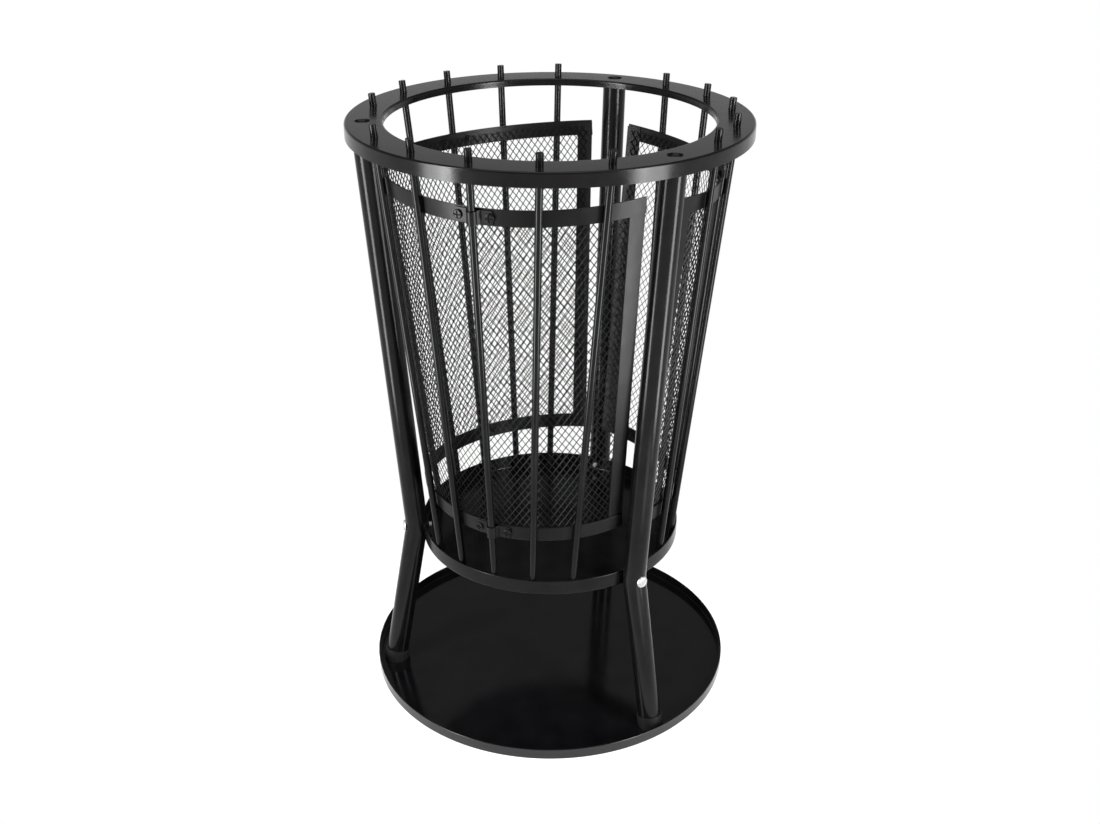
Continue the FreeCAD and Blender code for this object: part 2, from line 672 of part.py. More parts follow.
def side_strip(name, side):
    # The part of the side cone between two upright planes, one strip width apart.
    top = polar(top_radius, side * top_half, 0)
    low = polar(low_radius, side * low_half, 0)
    run = (top - low).normalize()
    across = up.cross(run)
    slab = doc.addObject("Part::Box", f"{name}_slab")
    slab.setExpression("Width", strip)
    slab.setExpression("Height", f"{panel_top} - {panel_bottom} + 6 * sizes.cut_overrun")
    slab.Length = (top - low).Length + 6 * overrun
    corner = low - run * (3 * overrun) - across * half_strip
    corner.z = value(f"{panel_bottom} - 3 * sizes.cut_overrun")
    slab.Placement = facing(corner, run, up)
    long_strip = combine("Part::Common", f"{name}_long", side_cone, slab)
    return cut_square(name, long_strip, inset, f"{panel_length} - {inset}")


# Diamond mesh, drawn coarser than a fine one: staggered rows of openings in one sheet

mesh_drop = "(sizes.strip_width - sizes.mesh_end_lap)"
mesh_inward = f"(2 * {strip_sheet} + sizes.seat_gap)"
mesh_edge = f"(sizes.strip_width - sizes.mesh_side_lap) / ({on_cone(panel_top, '0', '0')[0]})"
mesh_half = f"(sizes.panel_half_top_deg - atan({mesh_edge}) / 1 deg)"
mesh_cone = cone_band("mesh_cone", mesh_inward, "sizes.mesh_sheet", f"2 * {mesh_half}")
mesh_sheet = cut_square("mesh_sheet", mesh_cone, mesh_drop, f"{panel_length} - {mesh_drop}")
mesh_low = [value(number) for number in on_cone(panel_bottom, f"-{mesh_drop}", mesh_inward)]
mesh_length = value(f"{panel_length} - 2 * {mesh_drop}")
columns = int(value("sizes.mesh_columns"))
rows = int(value("sizes.mesh_rows"))
open_share = value("sizes.mesh_open_share")
column_step = 2 * value(mesh_half) / columns
row_step = mesh_length / rows


def mesh_opening(column, row):
    azimuth = column * column_step - value(mesh_half)
    side_rise = mesh_low[0] * math.sin(lean) * (1 - math.cos(math.radians(azimuth)))
    rise = row * row_step + side_rise
    radius = mesh_low[0] + rise * math.sin(lean)
    centre = polar(radius, azimuth, mesh_low[1] + rise * math.cos(lean))
    outward = polar(math.cos(lean), azimuth, -math.sin(lean))
    slope = polar(math.sin(lean), azimuth, math.cos(lean))
    half_width = up.cross(polar(1, azimuth, 0)) * (radius * math.radians(column_step) / 2 * open_share)
    half_height = slope * (row_step / 2 * open_share)
    start = centre + outward * overrun
    corners = [start + half_width, start + half_height, start - half_width, start - half_height]
    face = Part.Face(Part.makePolygon(corners + corners[:1]))
    return face.extrude(outward * (-overrun - overrun))


stagger_share = 0.5
whole_cells = [(column, row) for column in range(columns) for row in range(rows)]
even_rows = [(column + stagger_share, row + stagger_share) for column, row in whole_cells]
odd_rows = [(column, row) for column in range(1, columns) for row in range(1, rows)]
openings = [mesh_opening(column, row) for column, row in even_rows + odd_rows]
mesh_openings = doc.addObject("Part::Feature", "mesh_openings")
mesh_openings.Shape = Part.makeCompound(openings)
mesh = combine("Part::Cut", "mesh", mesh_sheet, mesh_openings)

# Saddle clips over each panel's middle bar, in the bar's own frame: x along the strip, y outward


class ClipPlace:
    # Where one clip sits: on the middle bar, level with the middle of a strip.
    def __init__(self, strip_middle):
        low, self.along = bar_axis(0, 0)
        face_radius, face_height = [value(number) for number in strip_middle]
        self.origin = along_bar(low, self.along, face_height - math.sin(lean) * value("sizes.bar_dia / 2"))
        radial = FreeCAD.Vector(self.origin.x, self.origin.y, 0).normalize()
        self.outward = (radial - self.along * radial.dot(self.along)).normalize()
        self.across = self.outward.cross(self.along)
        self.face_radius = face_radius / math.cos(lean)
        self.centre = self.origin - self.outward * (math.hypot(self.origin.x, self.origin.y) / math.cos(lean))

    def screw_line(self, side, radius):
        # A point at a radius on the screw's line, and the line's outward direction.
        angle = side * value("sizes.clip_screw_offset") / self.face_radius
        direction = self.across * math.sin(angle) + self.outward * math.cos(angle)
        return self.centre + direction * radius, direction


def clip_outline(place):
    inner = place.face_radius + value("sizes.close_fit")
    outer = inner + value("sizes.clip_sheet")
    centre_y = (place.centre - place.origin).dot(place.outward)
    saddle_inner = value("sizes.bar_dia / 2 + sizes.close_fit")
    saddle_outer = saddle_inner + value("sizes.clip_sheet")
    flare = value("sizes.clip_flare")
    reach = value("sizes.clip_half_span")

    def ear(x, radius):
        return FreeCAD.Vector(x, centre_y + math.sqrt(radius * radius - x * x), 0)

    def ear_arc(start, end, radius):
        return Part.Arc(ear(start, radius), ear((start + end) / 2, radius), ear(end, radius))

    def half_outline(saddle, radius, side):
        edge = FreeCAD.Vector(side * saddle, 0, 0)
        foot = side * (saddle + flare)
        return [Part.LineSegment(edge, ear(foot, radius)), ear_arc(foot, side * reach, radius)]

    edges = []
    for saddle, radius in ((saddle_inner, inner), (saddle_outer, outer)):
        start = FreeCAD.Vector(-saddle, 0, 0)
        edges.append(Part.Arc(start, FreeCAD.Vector(0, saddle, 0), -start))
        edges += half_outline(saddle, radius, 1) + half_outline(saddle, radius, -1)
    for side in (1, -1):
        edges.append(Part.LineSegment(ear(side * reach, inner), ear(side * reach, outer)))
    return edges


def make_clip(name, place):
    body = doc.addObject("PartDesign::Body", f"{name}_body")
    sketch = new_sketch(body, f"{name}_outline", "XY_Plane")
    for edge in clip_outline(place):
        sketch.addGeometry(edge, False)
    pad = body.newObject("PartDesign::Pad", f"{name}_strap")
    pad.Profile = sketch
    pad.Midplane = True
    pad.setExpression("Length", "sizes.clip_width")
    body.Placement = facing(place.origin, place.across, place.along)
    return body


def screw_bores(name, place):
    radius = "sizes.clip_screw_dia / 2 + sizes.close_fit"
    bores = []
    for side in (1, -1):
        start, direction = place.screw_line(side, place.face_radius - overrun)
        bores.append(cylinder(f"{name}_bore", radius, overrun + overrun, pointing(start, direction)))
    return bundle(f"{name}_bores", bores)


top_clip_place = ClipPlace(on_cone(panel_top, f"{strip} / 2", "0"))
low_clip_place = ClipPlace(on_cone(panel_bottom, f"-{strip} / 2", "0"))
panel_pieces = {
    "left_strip": side_strip("left_strip", -1),
    "right_strip": side_strip("right_strip", 1),
    "mesh": mesh,
}
for name, place, band in (("top", top_clip_place, top_band), ("bottom", low_clip_place, low_band)):
    bores = screw_bores(f"{name}_clip", place)
    clip_body = make_clip(f"{name}_clip", place)
    panel_pieces[f"{name}_clip"] = combine("Part::Cut", f"{name}_clip_master", clip_body, bores)
    panel_pieces[f"{name}_strip"] = combine("Part::Cut", f"{name}_strip_master", band, bores)


def panel_place(azimuth):
    # A panel is clipped at its own height along its middle bar, the front one highest.
    lift = value("sizes.panel_lift") * math.sin(math.radians(-azimuth))
    return turned(azimuth) * FreeCAD.Placement(bar_axis(0, 0)[1] * lift, FreeCAD.Rotation())


panel_places = [panel_place(azimuth) for azimuth in panel_azimuths]
for piece, master in panel_pieces.items():
    place_copies(master, [f"panel_{number}_{piece}" for number in leg_numbers], panel_places)

# Clip screws and nuts

screw_body = doc.addObject("PartDesign::Body", "clip_screw")
screw_length = "sizes.clip_screw_length"
screw_top = "(sizes.clip_screw_length + sizes.clip_screw_head_height)"
screw_head = "sizes.clip_screw_head_dia / 2"
revolve(screw_body, "clip_screw_form", [
    ("0", "0"),
    ("sizes.clip_screw_dia / 2", "0"),
    ("sizes.clip_screw_dia / 2", screw_length),
    (screw_head, screw_length),
    (screw_head, screw_top),
    ("0", screw_top),
])
round_rims(screw_body, "clip_screw_dome", [(screw_head, screw_top)], "sizes.clip_screw_head_round")
slot_end = "sizes.clip_screw_slot_length / 2"
slot_side = "sizes.clip_screw_slot_width / 2"
slot_quarter = [(slot_end, slot_side), (slot_side, slot_side), (slot_side, slot_end)]
slot_turns = [((x, y), (f"-{y}", x), (f"-{x}", f"-{y}"), (y, f"-{x}")) for x, y in slot_quarter]
slot_cross = [turns[quarter] for quarter in range(4) for turns in slot_turns]
sink(screw_body, "clip_screw_slots", slot_cross, screw_top, "sizes.clip_screw_slot_depth")

clip_nut = hex_nut("clip_nut", "sizes.clip_nut_across", "sizes.clip_nut_height", "sizes.clip_screw_dia")
screw_places = []
nut_places = []
for panel in panel_places:
    for place in (top_clip_place, low_clip_place):
        for side in (1, -1):
            seat = place.face_radius + value("sizes.close_fit + sizes.clip_sheet + sizes.close_fit")
            start, direction = place.screw_line(side, seat - value(screw_length))
            screw_places.append(panel * pointing(start, direction))
            nut_seat = place.face_radius - value("sizes.strip_sheet + sizes.close_fit")
            start, direction = place.screw_line(side, nut_seat - value("sizes.clip_nut_height"))
            nut_places.append(panel * pointing(start, direction))
group_copies(screw_body, "clip_screws", screw_places)
group_copies(clip_nut, "clip_nuts", nut_places)

# Check, then write one file per node

doc.recompute()
for item in doc.Objects:
    if {"Invalid", "Error"} & set(item.State):
        raise RuntimeError(f"{item.Label} failed: {item.State}")
shapes = {item.Label: Part.getShape(item) for item in nodes}
for label, shape in shapes.items():
    if shape.isNull() or not shape.isValid() or not shape.Solids:
        raise RuntimeError(f"{label} has no sound solid")
for label, shape in shapes.items():
    shape.exportStep(f"parts/{label}.step")
print(f"{len(shapes)} nodes written")
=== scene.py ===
import math
import bmesh
import bpy
from mathutils import Matrix, Vector


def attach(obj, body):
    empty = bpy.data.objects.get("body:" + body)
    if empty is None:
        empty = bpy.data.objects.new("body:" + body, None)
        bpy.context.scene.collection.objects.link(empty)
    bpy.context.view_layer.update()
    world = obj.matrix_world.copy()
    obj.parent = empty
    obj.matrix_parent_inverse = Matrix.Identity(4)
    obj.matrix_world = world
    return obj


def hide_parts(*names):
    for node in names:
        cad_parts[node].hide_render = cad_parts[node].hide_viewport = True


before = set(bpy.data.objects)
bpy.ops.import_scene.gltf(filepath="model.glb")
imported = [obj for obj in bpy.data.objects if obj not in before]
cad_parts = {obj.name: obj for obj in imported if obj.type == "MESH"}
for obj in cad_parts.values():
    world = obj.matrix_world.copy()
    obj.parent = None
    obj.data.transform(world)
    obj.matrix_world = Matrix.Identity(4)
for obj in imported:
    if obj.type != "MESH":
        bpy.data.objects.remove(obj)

scene = bpy.context.scene
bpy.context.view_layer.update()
up = Vector((0, 0, 1))

# places that several pieces share, in metres and degrees
basket = {
    "legAzimuths": (90, 210, 330),
    "panelAzimuths": (150, 270, 30),
    "ringTop": 0.7,
    "ringSheet": 0.002,
    "pitchRadius": 0.2015,
    "footRadius": 0.19975,
    "panRim": 0.203,
    "panBottom": 0.184,
    "panRadius": 0.1575,
    "panSteps": 160,
    "sheet": 0.0015,
    "panTurn": 2.2,
    "seatGap": 0.0003,
    "barRadius": 0.004,
    "kinkHeight": 0.195,
    "kinkTurn": 1.1,
}
nearly = 1e-6  # closer than this counts as the same place


def azimuthVector(degrees):
    return Vector((math.cos(math.radians(degrees)), math.sin(math.radians(degrees)), 0))


def polar(radius, degrees, height):
    return azimuthVector(degrees) * radius + up * height


def pointing(place, direction):  # stands a form made along Z on a place
    return Matrix.Translation(place) @ direction.to_track_quat("Z", "Y").to_matrix().to_4x4()


def turnedTo(degrees):
    return Matrix.Rotation(math.radians(degrees), 4, "Z")


def addNode(tree, kind, **settings):
    node = tree.nodes.new(kind)
    for name, setting in settings.items():
        setattr(node, name, setting)
    return node


# what all finishes share: the part of the noise that is used, its detail and the depth of the grain
finish = {"noiseLow": 0.3, "noiseHigh": 0.7, "toneDetail": 5, "roughDetail": 4, "grainDetail": 2,
          "grainDepth": 0.0002}


def noiseValue(tree, coords, scale, detail, low, high):  # noise brought to a range
    noise = addNode(tree, "ShaderNodeTexNoise")
    noise.inputs["Scale"].default_value = scale
    noise.inputs["Detail"].default_value = detail
    tree.links.new(coords.outputs["Object"], noise.inputs["Vector"])
    ranged = addNode(tree, "ShaderNodeMapRange")
    ranged.inputs["From Min"].default_value = finish["noiseLow"]
    ranged.inputs["From Max"].default_value = finish["noiseHigh"]
    ranged.inputs["To Min"].default_value = low
    ranged.inputs["To Max"].default_value = high
    tree.links.new(noise.outputs["Fac"], ranged.inputs["Value"])
    return ranged.outputs["Result"]


def makeMaterial(look):
    material = bpy.data.materials.new(look["name"])
    material.use_nodes = True
    tree = material.node_tree
    shader = tree.nodes["Principled BSDF"]
    coords = addNode(tree, "ShaderNodeTexCoord")
    tone = noiseValue(tree, coords, look["toneScale"], finish["toneDetail"], 0, 1)
    mix = addNode(tree, "ShaderNodeMix", data_type="RGBA")
    mix.inputs["A"].default_value = look["dark"] + (1,)
    mix.inputs["B"].default_value = look["pale"] + (1,)
    tree.links.new(tone, mix.inputs["Factor"])
    tree.links.new(mix.outputs["Result"], shader.inputs["Base Color"])
    rough = noiseValue(tree, coords, look["roughScale"], finish["roughDetail"], look["roughLow"],
                       look["roughHigh"])
    tree.links.new(rough, shader.inputs["Roughness"])
    grain = noiseValue(tree, coords, look["grainScale"], finish["grainDetail"], 0, 1)
    bump = addNode(tree, "ShaderNodeBump")
    bump.inputs["Strength"].default_value = look["grain"]
    bump.inputs["Distance"].default_value = finish["grainDepth"]
    tree.links.new(grain, bump.inputs["Height"])
    tree.links.new(bump.outputs["Normal"], shader.inputs["Normal"])
    shader.inputs["Metallic"].default_value = look["metallic"]
    shader.inputs["Specular IOR Level"].default_value = look["specular"]
    return material


blackCoat = makeMaterial({
    "name": "blackCoat", "dark": (0.0015, 0.0015, 0.00175), "pale": (0.003, 0.003, 0.00325), "metallic": 0,
    "toneScale": 35, "roughScale": 60, "roughLow": 0.15, "roughHigh": 0.22,
    "grainScale": 900, "grain": 0.06, "specular": 0.16,
})
panelCoat = makeMaterial({
    "name": "panelCoat", "dark": (0.0015, 0.0015, 0.00175), "pale": (0.003, 0.003, 0.00325), "metallic": 0,
    "toneScale": 45, "roughScale": 80, "roughLow": 0.3, "roughHigh": 0.38,
    "grainScale": 900, "grain": 0.08, "specular": 0.14,
})
meshCoat = makeMaterial({
    "name": "meshCoat", "dark": (0.003, 0.003, 0.0035), "pale": (0.006, 0.006, 0.0065), "metallic": 0,
    "toneScale": 45, "roughScale": 80, "roughLow": 0.45, "roughHigh": 0.55,
    "grainScale": 900, "grain": 0.08, "specular": 0.12,
})
trayCoat = makeMaterial({
    "name": "trayCoat", "dark": (0.0012, 0.0012, 0.0015), "pale": (0.0024, 0.0024, 0.0027), "metallic": 0,
    "toneScale": 30, "roughScale": 40, "roughLow": 0.09, "roughHigh": 0.14,
    "grainScale": 700, "grain": 0.05, "specular": 0.36,
})
capPlastic = makeMaterial({
    "name": "capPlastic", "dark": (0.003, 0.003, 0.003), "pale": (0.006, 0.006, 0.006), "metallic": 0,
    "toneScale": 60, "roughScale": 90, "roughLow": 0.5, "roughHigh": 0.6,
    "grainScale": 1200, "grain": 0.1, "specular": 0.12,
})
zincSteel = makeMaterial({
    "name": "zincSteel", "dark": (0.3, 0.31, 0.3), "pale": (0.42, 0.43, 0.42), "metallic": 0.7,
    "toneScale": 140, "roughScale": 200, "roughLow": 0.3, "roughHigh": 0.42,
    "grainScale": 1500, "grain": 0.08, "specular": 0.5,
})
# dark steel for the ring screws and clip nuts, also used as painted shade on the pan nuts and in the clip
# screws' cross recesses
darkSteelAndShade = makeMaterial({
    "name": "darkSteelAndShade", "dark": (0.003, 0.003, 0.003), "pale": (0.007, 0.007, 0.007), "metallic": 0,
    "toneScale": 150, "roughScale": 250, "roughLow": 0.4, "roughHigh": 0.5,
    "grainScale": 1500, "grain": 0.06, "specular": 0.05,
})
print("materials made")


def newPiece(name, form, material, node, sharpDegrees=40, weighted=True):
    mesh = bpy.data.meshes.new(name)
    form.to_mesh(mesh)
    form.free()
    mesh.materials.append(material)
    mesh.shade_smooth()
    mesh.set_sharp_from_angle(angle=math.radians(sharpDegrees))
    piece = bpy.data.objects.new(name, mesh)
    scene.collection.objects.link(piece)
    if weighted:
        normals = piece.modifiers.new("evenShading", "WEIGHTED_NORMAL")
        normals.keep_sharp = True
    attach(piece, "root")
    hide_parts(node)
    return piece


def closeForm(form):  # closes poles and seams, then turns all faces outward
    bmesh.ops.remove_doubles(form, verts=form.verts, dist=nearly)
    bmesh.ops.recalc_face_normals(form, faces=form.faces)


def outlineEdges(form, corners):  # each corner is (radius, height, round, segments)
    verts = [form.verts.new((radius, 0, height)) for radius, height, _, _ in corners]
    for pair in zip(verts, verts[1:]):
        form.edges.new(pair)
    if corners[0][0] > 0:  # an outline that starts off the axis is closed
        form.edges.new((verts[-1], verts[0]))
    for vert, (_, _, rounding, segments) in zip(verts, corners):
        if rounding > 0:
            bmesh.ops.bevel(form, geom=[vert], offset=rounding, offset_type="OFFSET", segments=segments,
                            profile=0.5, affect="VERTICES", material=-1)
    return list(form.edges)


def spunForm(corners, steps):
    form = bmesh.new()
    edges = outlineEdges(form, corners)
    bmesh.ops.spin(form, geom=list(form.verts) + edges, cent=(0, 0, 0), axis=up, angle=math.tau,
                   steps=steps, use_merge=True)
    closeForm(form)
    return form


def addForm(target, source, matrix):  # adds a placed copy of one form to another
    mesh = bpy.data.meshes.new("copyOfForm")
    source.to_mesh(mesh)
    mesh.transform(matrix)
    target.from_mesh(mesh)
    bpy.data.meshes.remove(mesh)


def combined(form, tool, operation):  # boolean of two forms
    holders = []
    for number, shape in enumerate((form, tool)):
        mesh = bpy.data.meshes.new(f"boolean{number}")
        shape.to_mesh(mesh)
        shape.free()
        holder = bpy.data.objects.new(f"boolean{number}", mesh)
        scene.collection.objects.link(holder)
        holders.append(holder)
    cut = holders[0].modifiers.new("cut", "BOOLEAN")
    cut.operation = operation
    cut.solver = "EXACT"
    cut.object = holders[1]
    result = bmesh.new()
    result.from_object(holders[0], bpy.context.evaluated_depsgraph_get())
    for holder in holders:
        mesh = holder.data
        bpy.data.objects.remove(holder)
        bpy.data.meshes.remove(mesh)
    return result


def newVerts(drawn):
    return [item for item in drawn if isinstance(item, bmesh.types.BMVert)]


def allParts(form):
    return form.verts[:] + form.edges[:] + form.faces[:]


def rod(radius, low, high, segments=32, rounding=0):  # a round bar between two places
    form = bmesh.new()
    length = (high - low).length
    bmesh.ops.create_cone(form, cap_ends=True, segments=segments, radius1=radius, radius2=radius,
                          depth=length)
    if rounding:
        rims = [edge for edge in form.edges if any(len(face.verts) > 4 for face in edge.link_faces)]
        bmesh.ops.bevel(form, geom=rims, offset=rounding, segments=2, profile=0.5, affect="EDGES",
                        material=-1)
    bmesh.ops.translate(form, verts=form.verts, vec=up * length / 2)
    bmesh.ops.transform(form, verts=form.verts, matrix=pointing(low, high - low))
    return form


# cage bars: from the pan's floor along skew lines, through the ring
bars = {"lowRadius": 0.1517, "lowStep": 17.5, "topStep": 20, "stand": 0.0135, "foot": 0.1864, "round": 0.0006,
        "segments": 32}


def barLine(panelAzimuth, place):  # place counts the bars from the panel's middle
    low = polar(bars["lowRadius"], panelAzimuth - basket["panTurn"] + place * bars["lowStep"],
                basket["panRim"])
    top = polar(basket["pitchRadius"], panelAzimuth + place * bars["topStep"], basket["ringTop"])
    return low, (top - low).normalized()


def atHeight(line, height):  # where a bar's line crosses a level
    low, direction = line
    return low + direction * ((height - low.z) / direction.z)


barLines = [barLine(azimuth, place) for azimuth in basket["panelAzimuths"] for place in range(-2, 3)]
for number, line in enumerate(barLines, start=1):
    foot = atHeight(line, bars["foot"])
    head = atHeight(line, basket["ringTop"] + bars["stand"])
    newPiece(f"bar{number:02d}", rod(basket["barRadius"], foot, head, bars["segments"], bars["round"]),
             blackCoat, f"bar_{number:02d}")
print("bars made")

# top ring: a channel with three countersunk dimples and a hole for each bar
ring = {"radius": 0.2215, "opening": 0.18, "skirt": 0.0155, "lip": 0.008, "steps": 180,
        "bend": 0.0025, "bendSteps": 6, "innerBend": 0.0005, "innerSteps": 3, "edge": 0.0003, "edgeSteps": 2,
        "dimple": 0.009, "dimpleFloor": 0.0057, "dimpleSteps": 48, "bore": 0.0033, "sinkPast": 0.003,
        "holeReach": 0.006, "sharp": 30}
top = basket["ringTop"]
sheet = basket["ringSheet"]
under = top - sheet
ringForm = spunForm([
    (ring["radius"], top - ring["skirt"], ring["edge"], ring["edgeSteps"]),
    (ring["radius"], top, ring["bend"], ring["bendSteps"]),
    (ring["opening"], top, ring["bend"], ring["bendSteps"]),
    (ring["opening"], top - ring["lip"], ring["edge"], ring["edgeSteps"]),
    (ring["opening"] + sheet, top - ring["lip"], ring["edge"], ring["edgeSteps"]),
    (ring["opening"] + sheet, under, ring["innerBend"], ring["innerSteps"]),
    (ring["radius"] - sheet, under, ring["innerBend"], ring["innerSteps"]),
    (ring["radius"] - sheet, top - ring["skirt"], ring["edge"], ring["edgeSteps"]),
], ring["steps"])
floorLevel = top - ring["dimpleFloor"]
cup = spunForm([
    (0, top - sheet / 2, 0, 1), (ring["dimple"] + sheet / 2, top - sheet / 2, 0, 1),
    (ring["bore"] + sheet, floorLevel, 0, 1), (0, floorLevel, 0, 1),
], ring["dimpleSteps"])
past = ring["sinkPast"]
sinkCut = spunForm([
    (0, top + past, 0, 1), (ring["dimple"] + past, top + past, 0, 1),
    (ring["bore"], floorLevel, 0, 1), (ring["bore"], floorLevel - past, 0, 1), (0, floorLevel - past, 0, 1),
], ring["dimpleSteps"])
cups = bmesh.new()
cuts = bmesh.new()
for azimuth in basket["legAzimuths"]:
    place = Matrix.Translation(azimuthVector(azimuth) * basket["pitchRadius"])
    addForm(cups, cup, place)
    addForm(cuts, sinkCut, place)
for line in barLines:
    hole = rod(basket["barRadius"] + basket["seatGap"], atHeight(line, top - ring["holeReach"]),
               atHeight(line, top + ring["holeReach"]), bars["segments"])
    addForm(cuts, hole, Matrix.Identity(4))
    hole.free()
cup.free()
sinkCut.free()
ringForm = combined(combined(ringForm, cups, "UNION"), cuts, "DIFFERENCE")
newPiece("topRing", ringForm, blackCoat, "top_ring", ring["sharp"])
print("ring made")

# legs: a straight length, one bend at the pan and a straight length, made about azimuth 0
leg = {"radius": 0.0135, "footLevel": 0.004, "bendRadius": 0.08, "notch": 0.005, "segments": 48,
       "bendSteps": 12, "spare": 0.01}
legTop = polar(basket["pitchRadius"], 0, under)
legFoot = polar(basket["footRadius"], 0, leg["footLevel"])
kinkRadius = basket["panRadius"] + basket["seatGap"] + leg["radius"] - leg["notch"]
contact = polar(kinkRadius, -basket["kinkTurn"], basket["kinkHeight"])
halfBend = (legTop - contact).angle(contact - legFoot) / 2
sag = leg["bendRadius"] * (1 / math.cos(halfBend) - 1)
kink = polar(kinkRadius - sag, -basket["kinkTurn"], basket["kinkHeight"])
lowerRun = (kink - legFoot).normalized()
upperRun = (legTop - kink).normalized()
bendAngle = lowerRun.angle(upperRun)
bendAxis = lowerRun.cross(upperRun).normalized()
bendCut = leg["bendRadius"] * math.tan(bendAngle / 2)
bendStart = kink - lowerRun * bendCut
bendCentre = bendStart + bendAxis.cross(lowerRun) * leg["bendRadius"]
legForm = bmesh.new()
bmesh.ops.create_circle(legForm, segments=leg["segments"], radius=leg["radius"])
startPlace = legFoot - lowerRun * leg["spare"]  # both ends are drawn longer, then cut level
bmesh.ops.transform(legForm, verts=legForm.verts, matrix=pointing(startPlace, lowerRun))


def drawOn(form, edges, step):  # draws a ring of edges on along a straight step
    drawn = bmesh.ops.extrude_edge_only(form, edges=edges)["geom"]
    bmesh.ops.translate(form, verts=newVerts(drawn), vec=step)
    return [item for item in drawn if isinstance(item, bmesh.types.BMEdge)]


def farEdges(form, place, direction):  # the open ring of edges at a place
    return [edge for edge in form.edges if edge.is_boundary
            and all(abs((vert.co - place).dot(direction)) < nearly for vert in edge.verts)]


drawOn(legForm, list(legForm.edges), bendStart - startPlace)
bendEdges = farEdges(legForm, bendStart, lowerRun)
bmesh.ops.spin(legForm, geom=bendEdges + list({vert for edge in bendEdges for vert in edge.verts}),
               cent=bendCentre, axis=bendAxis, angle=bendAngle, steps=leg["bendSteps"])
bendEnd = kink + upperRun * bendCut
drawOn(legForm, farEdges(legForm, bendEnd, upperRun), legTop + upperRun * leg["spare"] - bendEnd)
bmesh.ops.holes_fill(legForm, edges=legForm.edges, sides=0)


def trimLevel(form, height, keepAbove):  # cuts a closed form level and closes it again
    side = 1 if keepAbove else -1
    bmesh.ops.bisect_plane(form, geom=allParts(form), plane_co=up * height, plane_no=up * side,
                           clear_inner=True)
    bmesh.ops.holes_fill(form, edges=form.edges, sides=0)


trimLevel(legForm, leg["footLevel"], True)
trimLevel(legForm, under, False)
closeForm(legForm)
panRoom = rod(basket["panRadius"] + basket["seatGap"], up * (basket["panBottom"] - basket["seatGap"]),
              up * (basket["panRim"] + basket["seatGap"]), basket["panSteps"])
legForm = combined(legForm, panRoom, "DIFFERENCE")  # a notch lets the leg in over the pan's wall


def atEachLeg(master, piece, node, material):
    for number, azimuth in enumerate(basket["legAzimuths"], start=1):
        form = bmesh.new()
        addForm(form, master, turnedTo(azimuth))
        newPiece(f"{piece}{number}", form, material, f"{node}_{number}")
    master.free()


atEachLeg(legForm, "leg", "leg", blackCoat)

# foot caps: sleeves along the leg, level at the tray's floor
cap = {"radius": 0.01525, "height": 0.015, "base": 0.0025, "round": 0.0009, "segments": 48}
capForm = rod(cap["radius"], legFoot - lowerRun * (2 * cap["radius"] + cap["base"]),
              legFoot + lowerRun * (cap["height"] - cap["base"]), cap["segments"], cap["round"])
trimLevel(capForm, basket["sheet"], True)
closeForm(capForm)
atEachLeg(capForm, "footCap", "foot_cap", capPlastic)
print("legs made")


# fire pan and ash tray: pressed dishes of one sheet
dishEdge = {"round": 0.0004, "roundSteps": 3, "outerSteps": 6, "innerSteps": 4}
pan = {"radius": basket["panRadius"], "bottom": basket["panBottom"], "rim": basket["panRim"], "bend": 0.0015,
       "steps": basket["panSteps"]}
tray = {"radius": 0.2225, "bottom": 0, "rim": 0.0137, "bend": 0.0005, "steps": 192}


def dishForm(dish):
    wall = basket["sheet"]
    radius, bottom, rim, bend = dish["radius"], dish["bottom"], dish["rim"], dish["bend"]
    return spunForm([
        (0, bottom, 0, 1), (radius, bottom, bend + wall, dishEdge["outerSteps"]),
        (radius, rim, dishEdge["round"], dishEdge["roundSteps"]),
        (radius - wall, rim, dishEdge["round"], dishEdge["roundSteps"]),
        (radius - wall, bottom + wall, bend, dishEdge["innerSteps"]), (0, bottom + wall, 0, 1),
    ], dish["steps"])


newPiece("firePan", dishForm(pan), blackCoat, "fire_pan")
newPiece("ashTray", dishForm(tray), trayCoat, "ash_tray")
print("pan and tray made")


nutEdge = {"round": 0.0004, "boreSteps": 24, "borePast": 0.001}


def nutForm(across, height, boreRadius):  # hexagon nut with rounded corners at both ends
    radius = across / math.sqrt(3)
    form = bmesh.new()
    bmesh.ops.create_cone(form, cap_ends=True, segments=6, radius1=radius, radius2=radius, depth=height)
    bmesh.ops.translate(form, verts=form.verts, vec=up * height / 2)
    past = nutEdge["borePast"]
    bore = rod(boreRadius, up * -past, up * (height + past), nutEdge["boreSteps"])
    form = combined(form, bore, "DIFFERENCE")
    rims = [edge for edge in form.edges if abs(edge.verts[0].co.z - edge.verts[1].co.z) < nearly]
    bmesh.ops.bevel(form, geom=rims, offset=nutEdge["round"], segments=2, profile=0.5, affect="EDGES",
                    material=-1)
    closeForm(form)
    return form


# bolts and nuts that hold the pan to the legs
bolt = {"radius": 0.003, "seat": 0.1793, "end": 0.1477, "tip": 0.0006, "head": 0.007, "headHeight": 0.0032,
        "headEdge": 0.0003, "dome": 0.0028, "domeSteps": 8, "steps": 40,
        "nutAcross": 0.01, "nutHeight": 0.005, "tail": 0.003}
boltLength = bolt["seat"] - bolt["end"]
boltForm = spunForm([
    (0, 0, 0, 1), (bolt["radius"], 0, bolt["tip"], 2), (bolt["radius"], boltLength, 0, 1),
    (bolt["head"], boltLength, bolt["headEdge"], 2),
    (bolt["head"], boltLength + bolt["headHeight"], bolt["dome"], bolt["domeSteps"]),
    (0, boltLength + bolt["headHeight"], 0, 1),
], bolt["steps"])
nut = nutForm(bolt["nutAcross"], bolt["nutHeight"], bolt["radius"])
boltsForm = bmesh.new()
nutsForm = bmesh.new()
